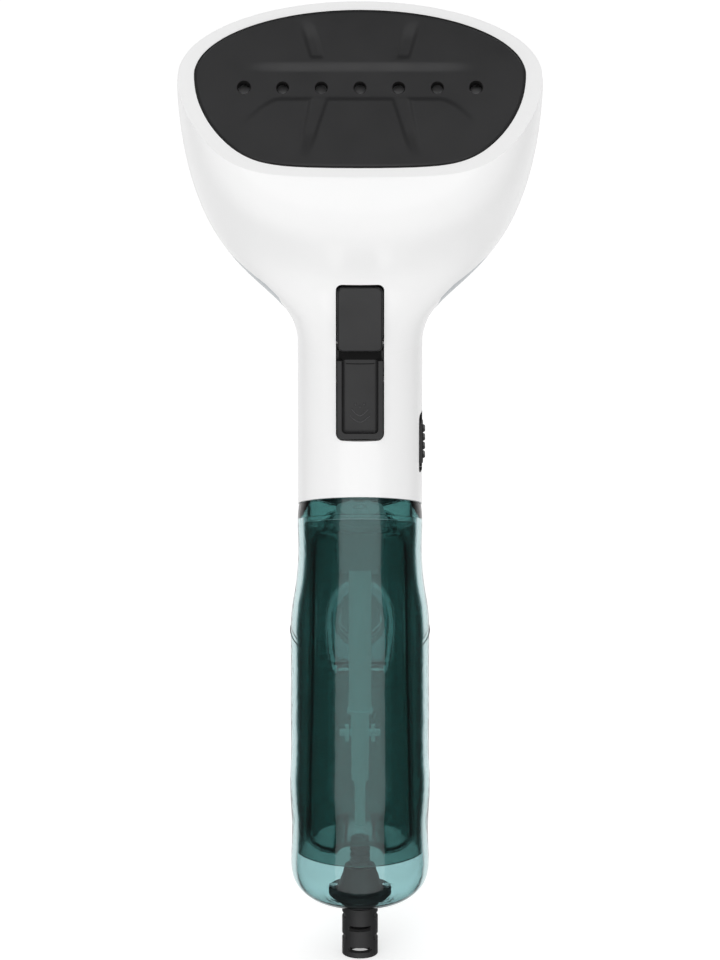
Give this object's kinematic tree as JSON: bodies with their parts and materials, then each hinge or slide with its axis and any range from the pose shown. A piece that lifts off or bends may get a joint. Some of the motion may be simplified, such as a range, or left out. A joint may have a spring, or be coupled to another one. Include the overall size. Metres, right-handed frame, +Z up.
{
  "type": "garment steamer",
  "caption": "Handheld garment steamer with a leaning D-shaped plate with a row of steam holes, finger trigger, side slide and clear water handle.",
  "frame": {"origin": "centre of the cord guard's lower end, on the grip's centre line", "axes": "+Z up along the grip, -Y to the front where the plate faces, +X to the user's slide side"},
  "size_m": [0.1294, 0.0816, 0.3678],
  "materials": {
    "white_gloss": "glossy moulded",
    "pale_grey": "glossy moulded",
    "plate_coat": "dark satin coating on cast aluminium",
    "black_plastic": "fine satin texture",
    "teal_clear": "clear tinted",
    "guard_rubber": "soft matte",
    "seal_rubber": "matte",
    "silicone": "satin translucent",
    "cast_aluminium": "as cast",
    "steel": "plated",
    "fuse_sleeve": "woven sleeve",
    "brass": "turned",
    "coil_wrap": "varnished winding",
    "board_green": "coated board",
    "lamp_clear": "clear"
  },
  "bodies": {
    "housing": {"boiler_base": "cast_aluminium", "boiler_cover": "cast_aluminium", "boiler_screws": "steel", "control_board": "board_green", "cord_grip": "guard_rubber", "cord_guard": "guard_rubber", "coupling_seal": "seal_rubber", "element_terminals": "steel", "filler_seal": "seal_rubber", "flange_screws": "steel", "flap_pin": "steel", "front_housing": "white_gloss", "heat_shield": "steel", "heating_element": "steel", "hose_clips": "black_plastic", "housing_screws": "steel", "inlet_hose": "silicone", "lamp_lens": "lamp_clear", "lower_shell": "teal_clear", "microswitch": "black_plastic", "outlet_hose": "silicone", "pickup_tube": "teal_clear", "plate_seal": "seal_rubber", "pump_body": "brass", "pump_coil": "coil_wrap", "pump_frame": "steel", "pump_spring": "steel", "rear_housing": "pale_grey", "slider_bezel": "black_plastic", "slider_switch": "black_plastic", "steam_plate": "plate_coat", "suction_tube": "teal_clear", "tank_coupling": "teal_clear", "tank_liner": "teal_clear", "thermal_fuse": "fuse_sleeve", "thermostat": "steel", "trigger_carrier": "black_plastic", "trigger_pin": "steel", "trigger_spring": "steel", "tube_adapter": "teal_clear", "tube_sleeve": "teal_clear", "water_tank": "teal_clear"},
    "trigger": {"steam_trigger": "black_plastic"},
    "plunger": {"switch_plunger": "black_plastic"},
    "lock": {"trigger_lock": "black_plastic"},
    "slider": {"steam_slider": "black_plastic"},
    "flap": {"filler_flap": "teal_clear", "filler_plug": "seal_rubber"},
    "piston": {"pump_piston": "steel"}
  },
  "joints": [
    {"name": "trigger_press", "type": "hinge", "parent": "housing", "child": "trigger", "pos_m": [0, -0.0144, 0.241], "axis": [1, 0, 0], "range_deg": [0, 5], "stiffness_Nm_per_rad": 0.15, "springref_deg": -5.73, "deforming": ["trigger_spring"]},
    {"name": "plunger_press", "type": "slide", "parent": "housing", "child": "plunger", "axis": [0, 1, 0], "range_m": [0, 0.0025]},
    {"name": "lock_slide", "type": "slide", "parent": "housing", "child": "lock", "axis": [0, 0, -1], "range_m": [0, 0.0035]},
    {"name": "slider_shift", "type": "slide", "parent": "housing", "child": "slider", "axis": [0, 0, 1], "range_m": [-0.003, 0.003]},
    {"name": "flap_swing", "type": "hinge", "parent": "housing", "child": "flap", "pos_m": [0, 0.0245, 0.106], "axis": [-1, 0, 0], "range_deg": [0, 85]},
    {"name": "piston_stroke", "type": "slide", "parent": "housing", "child": "piston", "axis": [0, 0, -1], "range_m": [0, 0.0025], "stiffness_N_per_m": 200, "springref_m": -0.001, "deforming": ["pump_spring"]}
  ],
  "couplings": [
    {"joint": "plunger_press", "follows": "trigger_press", "m_per_rad": 0.0274}
  ]
}
